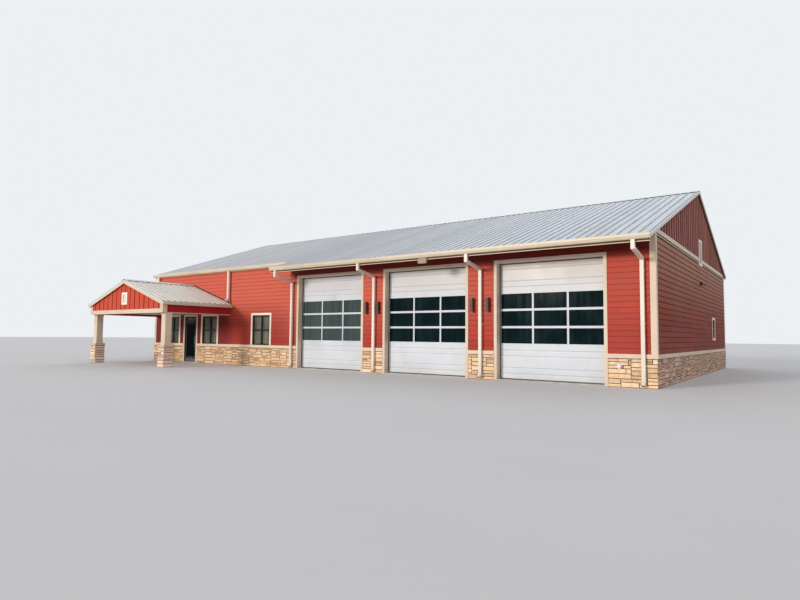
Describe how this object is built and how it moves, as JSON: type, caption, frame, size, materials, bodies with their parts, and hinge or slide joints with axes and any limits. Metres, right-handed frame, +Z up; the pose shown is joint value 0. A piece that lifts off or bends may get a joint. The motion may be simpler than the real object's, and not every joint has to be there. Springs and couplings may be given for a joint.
{
  "type": "fire station building",
  "caption": "Single-storey fire station: gabled hall with sectional bay doors, offices, stone base, ribbed metal roof and an entry portico with a hinged door.",
  "frame": {"origin": "middle of the whole footprint at ground level", "axes": "+X along the front towards the bays' end wall, +Y from the front to the back, +Z up"},
  "size_m": [26.6044, 19.92, 7.599],
  "materials": {
    "concrete": "smooth trowelled concrete, matt",
    "red_siding": "painted fibre-cement boards, satin, barn red",
    "stone": "split ledge stone in tan, buff and grey, matt",
    "cream_trim": "painted boards, satin, cream",
    "white_door": "painted ribbed steel, satin, white",
    "glass": "dark tinted glazing, glossy",
    "black_frame": "black coated aluminium, satin",
    "handle_metal": "brushed steel",
    "deck_wood": "roof boards, matt, hidden between roofing and ceiling",
    "dark_red_soffit": "painted soffit boards, satin, dark red",
    "roof_metal": "ribbed galvanised roofing, light grey, semi-gloss",
    "cream_metal": "coated gutter metal, semi-gloss, cream",
    "vent_white": "moulded vent, off-white",
    "lamp_metal": "dark bronze painted lamp bodies",
    "hose_metal": "cast aluminium hose connection"
  },
  "bodies": {
    "building": {"floor_slab": "concrete", "front_wall_left": "red_siding", "front_wall_middle": "red_siding", "front_wall_over_entry": "red_siding", "bay_piers": "red_siding", "bay_header": "red_siding", "left_gable_wall": "red_siding", "right_gable_wall": "red_siding", "back_wall": "red_siding", "stone_base_office": "stone", "stone_base_bays": "stone", "stone_base_rear": "stone", "stone_cap": "cream_trim", "corner_boards": "cream_trim", "gable_bands": "cream_trim", "door_trim": "cream_trim", "bay_door_left": "white_door", "bay_door_middle": "white_door", "bay_door_right": "white_door", "bay_door_glass": "glass", "window_trim": "cream_trim", "window_frames": "black_frame", "window_glass": "glass", "entry_frame": "black_frame", "roof_deck": "deck_wood", "bay_soffit": "dark_red_soffit", "eave_fascia": "cream_trim", "rake_trim": "roof_metal", "roof_panels_bays": "roof_metal", "roof_panels_office": "roof_metal", "roof_panels_back": "roof_metal", "ridge_caps": "roof_metal", "gutters": "cream_metal", "downspouts": "cream_metal", "gable_vents": "vent_white", "outside_lights": "lamp_metal", "eave_light": "vent_white", "hose_connection": "hose_metal", "portico_post_bases": "stone", "portico_posts": "cream_trim", "portico_beams": "red_siding", "portico_ceiling": "cream_trim", "portico_gable": "red_siding", "portico_trim": "cream_trim", "portico_roof_deck": "deck_wood", "portico_roof_panels": "roof_metal"},
    "entry_door": {"entry_door": "black_frame", "entry_door_glass": "glass", "entry_handle": "handle_metal"}
  },
  "joints": [
    {"name": "entry_hinge", "type": "hinge", "parent": "building", "child": "entry_door", "pos_m": [-10.2625, -6.196, 1.1], "axis": [0, 0, -1], "range_deg": [0, 90]}
  ]
}
